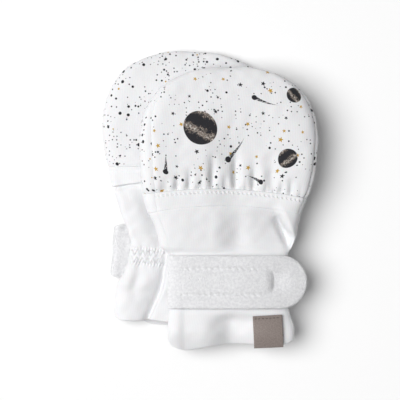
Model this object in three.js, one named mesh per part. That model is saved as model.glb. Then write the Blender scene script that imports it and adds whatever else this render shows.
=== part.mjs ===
// A pair of baby mittens laid flat on a table: the over mitten lies back of the hand up, across the under
// mitten, which lies palm up. Each mitten is a wide round hand pocket of two panels, a plain band that laps
// the cuff, a cuff of two walls, and a wide strap that leaves the side seam and closes across the back of
// the wrist. Millimetres, +Z up, +Y towards the finger ends, origin on the table below the middle of the
// pair.
import * as THREE from "three";

// Driving dimensions
const CLOTH = 1.4; // wall of doubled cotton jersey
const SEAM_GAP = 0.3; // clear line between two pieces that are sewn together
const LAP_GAP = 0.45; // clear space where one piece lies along another
const STRAP_GAP = 0.6; // clear space between the over mitten's strap and its cuff
const STRAP_WIDTH = 25.4;
const STRAP_THICKNESS = 2.4; // two layers of looped terry
const STRAP_LOW = 20.4; // height of the strap's lower edge above the hem
const LABEL = { width: 14, length: 15.8, thickness: 1.0 };
const BAND_LAP = 4; // how far the cuff reaches up inside the band
const CUFF_TUCK = 5; // the cuff starts to dip in this far below the band's edge
const TUCKED = 1.4; // and is wholly behind it this far below the edge
const CAP_POWER = 2.4; // 2 is an elliptical finger end, more is squarer
const UNDER_POWER = 8; // how flat the side that rests is across
const DEGREE = THREE.MathUtils.degToRad(1);
const CAP_END = 86.5 * DEGREE; // the finger end is closed by a short straight stretch there
const RIM_END = 62 * DEGREE; // the palm cloth that shows at the sides has run out there
const CALM_POWER = 10; // creases die out close to the side seams
const SIDE = 0.99; // share of the half width up to which a point of the upper side is found by its x
const PANEL_ROWS_POWER = 0.9; // a panel's rows are a little closer together towards the finger end

// Where each mitten lies: the middle of its hem, and its turn about Z.
const OVER = { x: 9.6, y: -72.2, turn: 0 };
const UNDER = { x: -15.4, y: -59.8, turn: -3.8 * DEGREE };

// Sections of each mitten across its length. v is the height above the hem, left and right the half widths
// from its middle line, top and under the cloth's reach above and below the side seams, rest the height
// that it lies above the table or the strap beneath it, full the power of the upper side's curve, leftRim
// and rightRim the width of palm cloth that shows on the upper side.
const OVER_SECTIONS = [
  { v: -2, left: 29.6, right: 30.4, top: 4.6, under: 3.6, rest: 0, full: 7, leftRim: 0.9, rightRim: 0.7 },
  { v: 10, left: 29.9, right: 30.9, top: 5.0, under: 3.8, rest: 0, full: 7, leftRim: 0.9, rightRim: 0.7 },
  { v: 17.5, left: 29.4, right: 28.8, top: 4.8, under: 3.8, rest: 0, full: 7, leftRim: 0.9, rightRim: 0.7 },
  { v: 20, left: 27.7, right: 27.5, top: 4.0, under: 3.7, rest: 0, full: 6, leftRim: 0.9, rightRim: 0.7 },
  { v: 46.4, left: 27.7, right: 27.7, top: 4.0, under: 3.7, rest: 0, full: 7, leftRim: 1.0, rightRim: 0.7 },
  { v: 49.5, left: 31.2, right: 28.6, top: 5.2, under: 3.9, rest: 0, full: 8, leftRim: 2.4, rightRim: 0.7 },
  { v: 55, left: 34.2, right: 31.2, top: 6.0, under: 4.3, rest: 0, full: 10, leftRim: 3.6, rightRim: 0.7 },
  { v: 61, left: 36.6, right: 32.8, top: 6.6, under: 4.7, rest: 0, full: 11, leftRim: 3.9, rightRim: 0.9 },
  { v: 66.5, left: 39.4, right: 34.2, top: 7.0, under: 4.9, rest: 0, full: 12, leftRim: 4.6, rightRim: 1.2 },
  { v: 73, left: 41.6, right: 37.2, top: 7.6, under: 4.9, rest: 0, full: 12, leftRim: 5.8, rightRim: 1.3 },
  { v: 78, left: 42.3, right: 39, top: 8.0, under: 4.9, rest: 0, full: 12, leftRim: 6.0, rightRim: 1.3 },
  { v: 88, left: 43, right: 41.1, top: 8.5, under: 4.8, rest: 0, full: 12, leftRim: 5.8, rightRim: 1.3 },
  { v: 99, left: 43.3, right: 42.1, top: 8.6, under: 4.8, rest: 0, full: 11, leftRim: 5.6, rightRim: 1.2 },
];
const UNDER_SECTIONS = [
  { v: -3, left: 30.6, right: 30.6, top: 5.4, under: 3.4, rest: 0, full: 7, leftRim: 0, rightRim: 0 },
  { v: 7, left: 31.7, right: 31.7, top: 5.6, under: 3.4, rest: 0, full: 7, leftRim: 0, rightRim: 0 },
  { v: 13, left: 31.6, right: 31.6, top: 5.5, under: 3.3, rest: 0.2, full: 7, leftRim: 0, rightRim: 0 },
  { v: 18.8, left: 30.2, right: 30.2, top: 5.0, under: 2.6, rest: 2.8, full: 6, leftRim: 0, rightRim: 0 },
  { v: 28, left: 27, right: 27, top: 5.1, under: 2.5, rest: 2.8, full: 6, leftRim: 0, rightRim: 0 },
  { v: 33.6, left: 25.8, right: 25.8, top: 5.0, under: 2.5, rest: 2.8, full: 6, leftRim: 0, rightRim: 0 },
  { v: 38.5, left: 26.2, right: 26.2, top: 5.1, under: 2.5, rest: 2.8, full: 6, leftRim: 0, rightRim: 0 },
  { v: 47.2, left: 29.4, right: 29.4, top: 5.1, under: 2.6, rest: 2.8, full: 7, leftRim: 0, rightRim: 0 },
  { v: 52.5, left: 31.9, right: 31.9, top: 5.4, under: 3.8, rest: 0.2, full: 8, leftRim: 0, rightRim: 0 },
  { v: 60, left: 34.8, right: 34.8, top: 5.6, under: 4.5, rest: 0, full: 8, leftRim: 0, rightRim: 0 },
  { v: 70, left: 38.2, right: 38.2, top: 5.7, under: 4.6, rest: 0, full: 8, leftRim: 0, rightRim: 0 },
  { v: 82, left: 41.2, right: 41.2, top: 6.5, under: 3.9, rest: 0, full: 8, leftRim: 0, rightRim: 0 },
  { v: 96, left: 42.8, right: 42.8, top: 6.6, under: 3.9, rest: 0, full: 8, leftRim: 0, rightRim: 0 },
];
const OVER_REACH = 36.8; // from the widest section to the finger end
const UNDER_REACH = 36;
const EDGE_HALF = 1.9; // reach above and below the seam at the finger end, room for one wall each

// The hem of the over mitten's upper wall: x across, v above the lowest point of the hem.
const OVER_HEM = [
  { x: -30, v: 4.2 },
  { x: -27.5, v: 1.7 },
  { x: -21.6, v: 0 },
  { x: -14, v: 1.4 },
  { x: -6, v: 2.5 },
  { x: 0, v: 3.2 },
  { x: 12, v: 3.1 },
  { x: 25, v: 2.7 },
  { x: 30, v: 4.6 },
];

const PALM_HEM_ABOVE = 0.6; // the over mitten's lower wall ends this much higher

// The hems of the under mitten's two walls. The lower wall's shows past the upper one's from the middle on.
const UNDER_PALM_HEM = [
  { x: -31, v: 0.9 },
  { x: -27.3, v: -0.2 },
  { x: -18, v: 0.3 },
  { x: -14, v: 1.2 },
  { x: -6, v: 0.6 },
  { x: 31, v: 0.4 },
];
const UNDER_BACK_HEM = [
  { x: -31, v: 1.6 },
  { x: -20, v: 0.8 },
  { x: -13, v: -1.2 },
  { x: 31, v: -1.2 },
];

// Gathers drawn in by the band's upper seam: x across, the trough's width and depth, and its reach above
// the seam.
const OVER_GATHERS = [
  { x: -31, width: 1.7, depth: 0.9, reach: 7 },
  { x: -25.2, width: 1.6, depth: 1.5, reach: 9 },
  { x: -19.2, width: 1.7, depth: 1.6, reach: 12 },
  { x: -14, width: 1.5, depth: 0.9, reach: 8 },
  { x: -8.4, width: 2.0, depth: 2.0, reach: 20 },
  { x: -2.6, width: 1.5, depth: 0.9, reach: 8 },
  { x: 2.6, width: 2.0, depth: 2.7, reach: 22 },
  { x: 11.5, width: 2.2, depth: 2.1, reach: 18 },
  { x: 19.6, width: 2.8, depth: 1.9, reach: 22 },
  { x: 24.6, width: 1.5, depth: 1.3, reach: 8 },
  { x: 28.9, width: 1.6, depth: 1.3, reach: 9 },
];

// Creases as troughs from one point to another: x and v of each end, width and depth. A raise is a negative
// depth.
const OVER_CREASES = [
  { x0: 21.5, v0: 64.5, x1: 30.5, v1: 46.5, width: 1.9, depth: 3.0 },
  { x0: 4.5, v0: 66, x1: 3.2, v1: 45, width: 6, depth: 1.1 },
  { x0: -21.2, v0: 20, x1: -21.6, v1: -9, width: 1.6, depth: 1.3 },
  { x0: -6.5, v0: 20, x1: -5.6, v1: -12, width: 4.6, depth: 2.4 },
  { x0: 8, v0: 19, x1: 8.6, v1: -4, width: 4, depth: -0.6 },
];
const UNDER_CREASES = [
  { x0: -34.5, v0: 66, x1: -18.5, v1: 34, width: 2.3, depth: 1.9 },
  { x0: -24, v0: 61, x1: -11.5, v1: 34, width: 3.6, depth: 2.6 },
  { x0: -1, v0: 60, x1: -3, v1: 34, width: 3, depth: 1.0 },
  { x0: 13, v0: 62, x1: 9, v1: 34, width: 3.2, depth: 1.1 },
  { x0: 25, v0: 60, x1: 18, v1: 34, width: 2.6, depth: 0.8 },
  { x0: -19.5, v0: 30, x1: -23.5, v1: 13, width: 2.6, depth: 1.0 },
  { x0: -8.6, v0: 34, x1: -12, v1: 14, width: 1.9, depth: 2.4 },
  { x0: -9.8, v0: 20, x1: -17.5, v1: -8, width: 2.2, depth: 2.6 },
  { x0: 4, v0: 30, x1: 6, v1: 4, width: 3, depth: 0.9 },
  { x0: 17, v0: 30, x1: 20, v1: 6, width: 2.4, depth: 0.8 },
];
// The elastic sewn across the palm side of the wrist draws the cloth into short even gathers.
const ELASTIC = { low: 29.4, high: 36.6, gathers: 13, depth: 0.55, fade: 5, nip: 0.7 };

// Heights of the seams and edges that run across, each with its arch and its slant towards the right.
const OVER_BAND_TOP = { middle: 77.3, arch: 3.0, slant: 1.3, over: 36 };
const OVER_BAND_LOW = { middle: 69.4, arch: 3.1, slant: 0.7, over: 33 };
const UNDER_BAND_TOP = { middle: 75.2, arch: 1.8, slant: 0, over: 38 };
const UNDER_BAND_LOW = { middle: 68.7, arch: 4.6, slant: 0, over: 36 };
// Rows of the cuff's wall up to each height, closer where the strap draws it in and at the elastic.
const OVER_LEVELS = [
  { v: 17.5, rows: 4 },
  { v: 19.8, rows: 2 },
  { v: 46.4, rows: 4 },
  { v: 49.5, rows: 2 },
];
const UNDER_LEVELS = [
  { v: 13, rows: 3 },
  { v: 18.8, rows: 2 },
  { v: 28, rows: 2 },
  { v: 38, rows: 3 },
  { v: 47.2, rows: 2 },
  { v: 52.5, rows: 2 },
];
const FREE_ROWS = 3; // from the last of those up to where the cuff starts to dip in
const DIP_ROWS = 6; // and from there to its hidden end
const SEAM_DIP = { depth: 0.7, width: 2.2 }; // the seam above the band pulls the cloth in a little

// How the over mitten is lifted by the under one: a share of 1 is the under mitten's edge. Past it the over
// mitten droops by a share of the lift.
const UNDER_HIGHEST = Math.max(...UNDER_SECTIONS.map((row) => row.rest + row.under + row.top));
const PAIR_GAP = 0.5;
const DRAPE = { height: UNDER_HIGHEST + PAIR_GAP, droop: 0.25, from: 0.84, to: 1.62, pastHem: 20, narrowest: 30 };

// Smooth curve through the rows of a table, which never overshoots them.
function curveThrough(rows, along, column) {
  const slopes = rows.slice(1).map((row, i) => (row[column] - rows[i][column]) / (row[along] - rows[i][along]));
  const tangents = rows.map((_, i) => {
    const before = slopes[i - 1] ?? slopes[0];
    const after = slopes[i] ?? slopes[i - 1];
    return before * after > 0 ? (2 * before * after) / (before + after) : 0;
  });
  return (at) => {
    const last = rows.length - 1;
    if (at <= rows[0][along]) return rows[0][column];
    if (at >= rows[last][along]) return rows[last][column];
    const i = rows.findIndex((row) => row[along] > at) - 1;
    const span = rows[i + 1][along] - rows[i][along];
    const t = (at - rows[i][along]) / span;
    return (
      rows[i][column] * (1 + 2 * t) * (1 - t) ** 2 +
      rows[i + 1][column] * t * t * (3 - 2 * t) +
      span * (tangents[i] * t * (1 - t) ** 2 - tangents[i + 1] * t * t * (1 - t))
    );
  };
}

const { smoothstep, clamp, lerp } = THREE.MathUtils;
const STEP = 0.02; // share of a skin over which its lengths and slopes are measured
const MOST_TRIM = 0.04; // largest share that a gap takes from one side of a skin

function edgeHeight(edge, x) {
  const share = x / edge.over;
  return edge.middle - edge.arch * share * share - edge.slant * share;
}

// Depth of the creases at a point: each is a trough that deepens from both its ends.
function creaseDepth(creases, x, v) {
  let depth = 0;
  for (const c of creases) {
    const run = new THREE.Vector2(c.x1 - c.x0, c.v1 - c.v0);
    const t = ((x - c.x0) * run.x + (v - c.v0) * run.y) / run.lengthSq();
    if (t <= 0 || t >= 1) continue;
    const aside = ((x - c.x0) * run.y - (v - c.v0) * run.x) / run.length();
    depth += c.depth * Math.sin(Math.PI * t) ** 0.7 * Math.exp(-((aside / c.width) ** 2));
  }
  return depth;
}

function gatherDepth(gathers, x, above) {
  if (above <= 0) return 0;
  let depth = 0;
  for (const g of gathers) {
    const t = above / g.reach;
    if (t >= 1) continue;
    const open = lerp(0.35, 1, smoothstep(t, 0, 0.2)) * (1 - smoothstep(t, 0.25, 1));
    depth += g.depth * open * Math.exp(-(((x - g.x) / g.width) ** 2));
  }
  return depth;
}

function elasticDepth(x, v, side) {
  const middle = (ELASTIC.low + ELASTIC.high) / 2;
  const outside = Math.max(0, Math.abs(v - middle) - (ELASTIC.high - ELASTIC.low) / 2);
  if (outside >= ELASTIC.fade) return 0;
  const hold = 1 - smoothstep(outside, 0, ELASTIC.fade);
  const wave = Math.cos((x / side) * ELASTIC.gathers * Math.PI);
  return hold * (ELASTIC.nip + ELASTIC.depth * wave);
}

// Height at which the under mitten holds the over one, at a point of the table.
const underSide = curveThrough(UNDER_SECTIONS, "v", "left");
const UNDER_CROWN = UNDER_SECTIONS[UNDER_SECTIONS.length - 1];
function liftAt(x, y) {
  const p = new THREE.Vector2(x - UNDER.x, y - UNDER.y).rotateAround(new THREE.Vector2(), -UNDER.turn);
  const past = Math.max(0, p.y - UNDER_CROWN.v) / UNDER_REACH;
  const share = Math.hypot(p.x / Math.max(DRAPE.narrowest, underSide(p.y)), past);
  const held = 1 - DRAPE.droop * smoothstep(share, DRAPE.from, DRAPE.to);
  return DRAPE.height * held * smoothstep(p.y, -DRAPE.pastHem, -1);
}

// A mitten's outer form. ring() gives its point at an angle round a section, counted from the right-hand
// side over the top, and at a height along it. Past the crown the height turns into the angle of the round
// finger end. depth is how far in from the outer face the point lies.
function mittenForm(sections, reach, place, lift, uppers) {
  const columns = ["left", "right", "top", "under", "rest", "full", "leftRim", "rightRim"];
  const curves = Object.fromEntries(columns.map((name) => [name, curveThrough(sections, "v", name)]));
  const crown = sections[sections.length - 1].v;
  const end = crown + reach; // heights along the mitten end here, at an angle of CAP_END
  const turnAt = (along) => clamp((along - crown) / reach, 0, 1) * CAP_END;
  const closing = (turn) => Math.cos(turn) ** (2 / CAP_POWER);

  function ring(angle, along, depth) {
    const turn = turnAt(along);
    const shrink = closing(turn);
    const at = Math.min(along, crown);
    const c = Math.cos(angle);
    const v = turn > 0 ? crown + (reach - depth) * Math.sin(turn) ** (2 / CAP_POWER) : along;
    const x = (curves[c < 0 ? "left" : "right"](at) - depth) * shrink * c;
    const loft = (name) => lerp(EDGE_HALF, curves[name](at), shrink) - depth;
    const seam = curves.rest(at) + lerp(EDGE_HALF, curves.under(at), shrink);
    const upper = Math.sin(angle) > 0;
    const power = upper ? curves.full(at) : UNDER_POWER;
    const rise = Math.sqrt(Math.max(0, 1 - Math.abs(c) ** power));
    const calm = 1 - Math.abs(c) ** CALM_POWER;
    const z = upper ? seam + loft("top") * rise - calm * uppers(x, v, curves.left(at)) : seam - loft("under") * rise;
    return new THREE.Vector3(x, v, z + lift(x + place.x, v + place.y));
  }
  // Angles of the two side seams at a height along the mitten, where sunk is how far they lie below the
  // sides.
  function seams(along, sunk) {
    const turn = turnAt(along);
    const fade = clamp(1 - turn / RIM_END, 0, 1);
    const at = Math.min(along, crown);
    const angleOf = (rim, half) => Math.acos(1 - Math.min(1, (rim * fade) / (half * closing(turn)))) - sunk * fade;
    return {
      right: angleOf(curves.rightRim(at), curves.right(at)),
      left: Math.PI - angleOf(curves.leftRim(at), curves.left(at)),
    };
  }
  const half = (x, v) => curves[x < 0 ? "left" : "right"](v);
  // A point of the upper side by its x. Past the sides a strap runs on straight, at the slope that it
  // leaves with.
  function upperSide(x, v, depth, leave = SIDE) {
    const share = x / (half(x, v) - depth);
    const held = clamp(share, -1, leave);
    const p = ring(Math.acos(held), v, depth);
    if (share <= leave) return p;
    const near = ring(Math.acos(leave - STEP), v, depth);
    const run = (x - p.x) / (p.x - near.x);
    return new THREE.Vector3(x, v, p.z + (p.z - near.z) * run);
  }
  return { ring, seams, upperSide, crown, end };
}

const overForm = mittenForm(OVER_SECTIONS, OVER_REACH, OVER, liftAt, (x, v) => {
  const above = v - edgeHeight(OVER_BAND_TOP, x);
  const dip = SEAM_DIP.depth * Math.exp(-((above / SEAM_DIP.width) ** 2));
  return dip + gatherDepth(OVER_GATHERS, x, above) + creaseDepth(OVER_CREASES, x, v);
});
const underForm = mittenForm(UNDER_SECTIONS, UNDER_REACH, UNDER, () => 0, (x, v, side) => {
  return creaseDepth(UNDER_CREASES, x, v) + elasticDepth(x, v, side);
});
const UNDER_SEAM_SUNK = 13 * DEGREE; // the palm cloth of the under mitten rolls over its sides

// A skin is a function of a share across, a share along and a depth. This one covers the side of a form
// between its seams, at the heights that heightAt gives for an x and a share along. The upper side runs
// from left to right, and the under side from right to left.
function sideSkin(form, side, sunk, heightAt, depthAt = (x, v, depth) => depth) {
  return (across, along, depth) => {
    const spot = (height) => {
      const { left, right } = form.seams(height, sunk);
      return side === "top" ? lerp(left, right, across) : lerp(right, left - 2 * Math.PI, across);
    };
    const xAt = (height) => form.ring(spot(height), height, 0).x;
    const x = xAt(heightAt(0, along));
    const height = heightAt(x, along);
    return form.ring(spot(height), height, depthAt(x, height, depth));
  };
}

// Leaves half a gap at both sides of a skin, and at its ends where asked, measured on both faces of the
// wall.
function trimmed(skin, sides, low, high) {
  const share = (gap, from, to) => {
    const lengths = [0, CLOTH].map((depth) => skin(...from, depth).distanceTo(skin(...to, depth)));
    return Math.min(MOST_TRIM, ((gap / 2) * STEP) / Math.min(...lengths));
  };
  return (across, along, depth) => {
    const left = share(sides, [0, along], [STEP, along]);
    const right = share(sides, [1, along], [1 - STEP, along]);
    const bottom = share(low, [across, 0], [across, STEP]);
    const top = share(high, [across, 1], [across, 1 - STEP]);
    return skin(lerp(left, 1 - right, across), lerp(bottom, 1 - top, along), depth);
  };
}

// A closed wall between two depths of a skin.
function wall(skin, columns, rows, face, back) {
  const points = [];
  for (const depth of [face, back])
    for (let j = 0; j <= rows; j++)
      for (let i = 0; i <= columns; i++) points.push(...skin(i / columns, j / rows, depth).toArray());
  const layer = (rows + 1) * (columns + 1);
  const front = (i, j) => j * (columns + 1) + i;
  const rear = (i, j) => layer + front(i, j);
  const index = [];
  const quad = (a, b, c, d) => index.push(a, b, c, a, c, d);
  for (let j = 0; j < rows; j++)
    for (let i = 0; i < columns; i++) {
      quad(front(i, j), front(i + 1, j), front(i + 1, j + 1), front(i, j + 1));
      quad(rear(i, j), rear(i, j + 1), rear(i + 1, j + 1), rear(i + 1, j));
    }
  for (let i = 0; i < columns; i++) {
    quad(rear(i, 0), rear(i + 1, 0), front(i + 1, 0), front(i, 0));
    quad(front(i, rows), front(i + 1, rows), rear(i + 1, rows), rear(i, rows));
  }
  for (let j = 0; j < rows; j++) {
    quad(rear(0, j + 1), rear(0, j), front(0, j), front(0, j + 1));
    quad(front(columns, j + 1), front(columns, j), rear(columns, j), rear(columns, j + 1));
  }
  const geometry = new THREE.BufferGeometry();
  geometry.setAttribute("position", new THREE.Float32BufferAttribute(points, 3));
  geometry.setIndex(index);
  geometry.computeVertexNormals();
  return geometry;
}

// Materials
const cloth = (color, roughness) => new THREE.MeshStandardMaterial({ color, roughness, metalness: 0 });
const printedJersey = cloth(0xf0f0ee, 0.85);
const plainJersey = cloth(0xeeeeed, 0.85);
const bandJersey = cloth(0xececeb, 0.85);
const loopedTerry = cloth(0xe8e8e7, 0.95);
const wovenRibbon = cloth(0x857873, 0.7);

function piece(name, geometry, material) {
  const mesh = new THREE.Mesh(geometry, material);
  mesh.name = name;
  return mesh;
}

// The two panels of the hand pocket, from the band's upper seam to the finger end.
function handPanel(form, side, sunk, bandTop, columns, rows) {
  const heightAt = (x, along) => lerp(edgeHeight(bandTop, x), form.end, along ** PANEL_ROWS_POWER);
  const skin = sideSkin(form, side, sunk, heightAt);
  return wall(trimmed(skin, SEAM_GAP, SEAM_GAP, SEAM_GAP), columns, rows, 0, CLOTH);
}

function bandPiece(form, side, sunk, bandLow, bandTop, columns) {
  const heightAt = (x, along) => lerp(edgeHeight(bandLow, x), edgeHeight(bandTop, x), along);
  const skin = sideSkin(form, side, sunk, heightAt);
  return wall(trimmed(skin, SEAM_GAP, 0, SEAM_GAP), columns, 2, 0, CLOTH);
}

// One wall of the cuff, from the hem up to where it is hidden inside the band.
function cuffWall(form, side, sunk, hem, bandLow, levels, columns) {
  const rows = levels.reduce((sum, level) => sum + level.rows, 0) + FREE_ROWS + DIP_ROWS;
  const heightAt = (x, along) => {
    const dip = edgeHeight(bandLow, x) - CUFF_TUCK;
    const ends = [...levels, { v: dip, rows: FREE_ROWS }, { v: dip + CUFF_TUCK + BAND_LAP, rows: DIP_ROWS }];
    let height = hem(x);
    let left = along * rows;
    for (const end of ends) {
      if (left > 0) height = lerp(height, end.v, Math.min(1, left / end.rows));
      left -= end.rows;
    }
    return height;
  };
  const tucked = (x, v, depth) => {
    const edge = edgeHeight(bandLow, x);
    return depth + (CLOTH + LAP_GAP) * smoothstep(v, edge - CUFF_TUCK, edge - TUCKED);
  };
  const skin = sideSkin(form, side, sunk, heightAt, tucked);
  return wall(trimmed(skin, SEAM_GAP, 0, 0), columns, rows, 0, CLOTH);
}

// A strap closes in a half circle at its free end. Its columns stand at stations: so many over each stretch
// of it, in order, and the last of them over the round end.
const ROUND = STRAP_WIDTH / 2;
const ROUND_LENGTH = ROUND * CAP_END;
const STRAP_ROWS = 6;
function strapWall(stretches, place, face, back, turned) {
  const columns = stretches.reduce((sum, stretch) => sum + stretch.columns, 0);
  const runAt = (along) => {
    let left = along * columns;
    let run = 0;
    for (const { length, columns: count } of stretches) {
      run += (length * clamp(left, 0, count)) / count;
      left -= count;
    }
    return run;
  };
  const straight = runAt(1) - ROUND_LENGTH;
  const skin = (along, across, depth) => {
    const run = runAt(along);
    const turn = Math.max(0, run - straight) / ROUND;
    const s = turn > 0 ? straight + ROUND * Math.sin(turn) : run;
    const aside = (turned ? 1 - 2 * across : 2 * across - 1) * ROUND * Math.cos(turn);
    return place(s, STRAP_LOW + ROUND + aside, depth);
  };
  return wall(skin, columns, STRAP_ROWS, face, back);
}

// The over mitten's strap is sewn in at its left side seam, lies across the back of the wrist and stands
// out past it. leave is the share of the half width where it leaves the cuff and runs on straight. seam,
// corner and rise are its first stretches, over the round side of the cuff.
const OVER_STRAP = { start: -30.2, end: 36.9, leave: 0.8, seam: 0.5, corner: 2.5, rise: 6 };
function overStrap() {
  const { start, end, leave, seam, corner, rise } = OVER_STRAP;
  const stretches = [
    { length: seam, columns: 2 },
    { length: corner, columns: 3 },
    { length: rise, columns: 3 },
    { length: end - start - seam - corner - rise - ROUND, columns: 10 },
    { length: ROUND_LENGTH, columns: 7 },
  ];
  const place = (s, v, depth) => overForm.upperSide(start + s, v, depth, leave);
  return strapWall(stretches, place, -STRAP_GAP - STRAP_THICKNESS, -STRAP_GAP, false);
}

// The under mitten's strap leaves its side seam, folds round beside it and runs back below the wrist.
const UNDER_STRAP = { fold: -34.4, foldRadius: 1.45, upperRun: 6, end: 33, gap: 0.5 };
function underStrap() {
  const { fold, foldRadius, upperRun, end, gap } = UNDER_STRAP;
  const middle = STRAP_THICKNESS / 2;
  const turnX = fold + middle + foldRadius;
  const turnLength = Math.PI * foldRadius;
  const stretches = [
    { length: upperRun, columns: 3 },
    { length: turnLength, columns: 8 },
    { length: end - turnX - ROUND, columns: 8 },
    { length: ROUND_LENGTH, columns: 7 },
  ];
  const place = (s, v, depth) => {
    const out = -depth - middle; // how far the point lies out of the strap's own middle
    if (s <= upperRun) {
      const from = Math.max(-(underSide(v) + gap), turnX + gap);
      return new THREE.Vector3(lerp(from, turnX, s / upperRun), v, middle + 2 * foldRadius + out);
    }
    const angle = clamp((s - upperRun) / foldRadius, 0, Math.PI);
    const past = Math.max(0, s - upperRun - turnLength);
    const radius = foldRadius + out;
    const x = turnX - Math.sin(angle) * radius + past;
    return new THREE.Vector3(x, v, middle + foldRadius + Math.cos(angle) * radius);
  };
  return strapWall(stretches, place, -STRAP_THICKNESS, 0, true);
}

// A small folded ribbon sewn on the cuff by its upper edge, a little turned, its fold just past the hem.
const LABEL_PLACE = { x: 18.1, v: 9.3, turn: 3 * DEGREE };
function label() {
  const skin = (across, along, depth) => {
    const spot = new THREE.Vector2((across - 0.5) * LABEL.width, (along - 0.5) * LABEL.length);
    spot.rotateAround(new THREE.Vector2(), LABEL_PLACE.turn);
    return overForm.upperSide(LABEL_PLACE.x + spot.x, LABEL_PLACE.v + spot.y, depth);
  };
  return wall(skin, 7, 6, -LAP_GAP - LABEL.thickness, -LAP_GAP);
}

function overMitten() {
  const group = new THREE.Group();
  const hem = curveThrough(OVER_HEM, "x", "v");
  const palmHem = (x) => hem(x) + PALM_HEM_ABOVE;
  group.add(
    piece("over_back_panel", handPanel(overForm, "top", 0, OVER_BAND_TOP, 42, 14), printedJersey),
    piece("over_palm_panel", handPanel(overForm, "under", 0, OVER_BAND_TOP, 20, 14), printedJersey),
    piece("over_back_band", bandPiece(overForm, "top", 0, OVER_BAND_LOW, OVER_BAND_TOP, 30), bandJersey),
    piece("over_palm_band", bandPiece(overForm, "under", 0, OVER_BAND_LOW, OVER_BAND_TOP, 20), bandJersey),
    piece("over_back_cuff", cuffWall(overForm, "top", 0, hem, OVER_BAND_LOW, OVER_LEVELS, 30), plainJersey),
    piece("over_palm_cuff", cuffWall(overForm, "under", 0, palmHem, OVER_BAND_LOW, OVER_LEVELS, 18), plainJersey),
    piece("over_strap", overStrap(), loopedTerry),
    piece("over_label", label(), wovenRibbon),
  );
  group.position.set(OVER.x, OVER.y, 0);
  group.rotation.z = OVER.turn;
  return group;
}

function underMitten() {
  const group = new THREE.Group();
  const sunk = UNDER_SEAM_SUNK;
  const palmHem = curveThrough(UNDER_PALM_HEM, "x", "v");
  const backHem = curveThrough(UNDER_BACK_HEM, "x", "v");
  const cuff = (side, hem, columns) =>
    cuffWall(underForm, side, sunk, hem, UNDER_BAND_LOW, UNDER_LEVELS, columns);
  group.add(
    piece("under_palm_panel", handPanel(underForm, "top", sunk, UNDER_BAND_TOP, 24, 11), printedJersey),
    piece("under_back_panel", handPanel(underForm, "under", sunk, UNDER_BAND_TOP, 16, 11), printedJersey),
    piece("under_palm_band", bandPiece(underForm, "top", sunk, UNDER_BAND_LOW, UNDER_BAND_TOP, 24), bandJersey),
    piece("under_back_band", bandPiece(underForm, "under", sunk, UNDER_BAND_LOW, UNDER_BAND_TOP, 16), bandJersey),
    piece("under_palm_cuff", cuff("top", palmHem, 34), plainJersey),
    piece("under_back_cuff", cuff("under", backHem, 14), plainJersey),
    piece("under_strap", underStrap(), loopedTerry),
  );
  group.position.set(UNDER.x, UNDER.y, 0);
  group.rotation.z = UNDER.turn;
  return group;
}

const pair = new THREE.Group();
pair.add(underMitten(), overMitten());

export default pair;
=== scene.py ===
"""A pair of baby mittens laid flat on a white table. The over one lies back of the hand up across the under
one, which lies palm up. Lengths are millimetres in the part's own frame, and the meshes are made in metres."""

import math

import bpy
import numpy as np
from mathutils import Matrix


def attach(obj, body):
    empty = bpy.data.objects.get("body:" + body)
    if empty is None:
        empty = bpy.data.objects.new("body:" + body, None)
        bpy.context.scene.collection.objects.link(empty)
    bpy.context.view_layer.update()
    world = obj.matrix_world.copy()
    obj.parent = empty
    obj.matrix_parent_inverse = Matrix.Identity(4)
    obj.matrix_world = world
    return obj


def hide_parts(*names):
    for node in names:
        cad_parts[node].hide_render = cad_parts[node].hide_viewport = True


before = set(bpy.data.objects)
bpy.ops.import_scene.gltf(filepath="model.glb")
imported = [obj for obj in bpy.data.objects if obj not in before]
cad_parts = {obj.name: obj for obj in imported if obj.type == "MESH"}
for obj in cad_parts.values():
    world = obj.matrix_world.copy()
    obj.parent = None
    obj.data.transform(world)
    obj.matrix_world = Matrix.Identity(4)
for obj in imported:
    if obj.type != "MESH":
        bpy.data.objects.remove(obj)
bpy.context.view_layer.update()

MM = 0.001
DEGREE = math.pi / 180


# Camera, light and table

PHOTO = 400  # pixels along a side
PIXEL_MM = 0.48
FRAME_MM = PHOTO * PIXEL_MM
VIEW_X = -4.8  # the middle of the picture, in the part's frame
LENS = 150.0
SENSOR = 36.0
CLOTH_LEVEL = 12.0  # the height at which the picture is FRAME_MM wide


def make_camera():
    data = bpy.data.cameras.new("camera")
    data.lens = LENS
    data.sensor_width = SENSOR
    distance = FRAME_MM * LENS / SENSOR
    data.clip_start = 0.05
    data.clip_end = 20
    camera = bpy.data.objects.new("camera", data)
    camera.location = (VIEW_X * MM, 0, (CLOTH_LEVEL + distance) * MM)
    bpy.context.collection.objects.link(camera)
    bpy.context.scene.camera = camera


def area_light(name, size, power, place):
    """A soft round light at a place in metres, aimed at the origin."""
    data = bpy.data.lights.new(name, "AREA")
    data.shape = "DISK"
    data.size = size
    data.energy = power
    light = bpy.data.objects.new(name, data)
    light.location = place
    x, y, z = place
    light.rotation_euler = (0, math.acos(z / math.hypot(x, y, z)), math.atan2(y, x))
    bpy.context.collection.objects.link(light)


def make_stage():
    bpy.ops.mesh.primitive_plane_add(size=6, location=(0, 0, -0.0002))
    table = bpy.context.object
    table.name = "table"
    table.data.materials.append(white_paper())
    area_light("key_from_the_left", 3.5, 187, (-2.1, 0.2, 3.35))
    area_light("soft_overhead", 2.2, 5.5, (0.3, 0.1, 2.0))
    world = bpy.data.worlds.new("soft_surround")
    world.use_nodes = True
    background = world.node_tree.nodes["Background"]
    background.inputs["Color"].default_value = (1, 1, 1, 1)
    background.inputs["Strength"].default_value = 0.165
    bpy.context.scene.world = world
    bpy.context.scene.view_settings.view_transform = "Standard"
    bpy.context.scene.view_settings.look = "None"


# Materials


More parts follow.
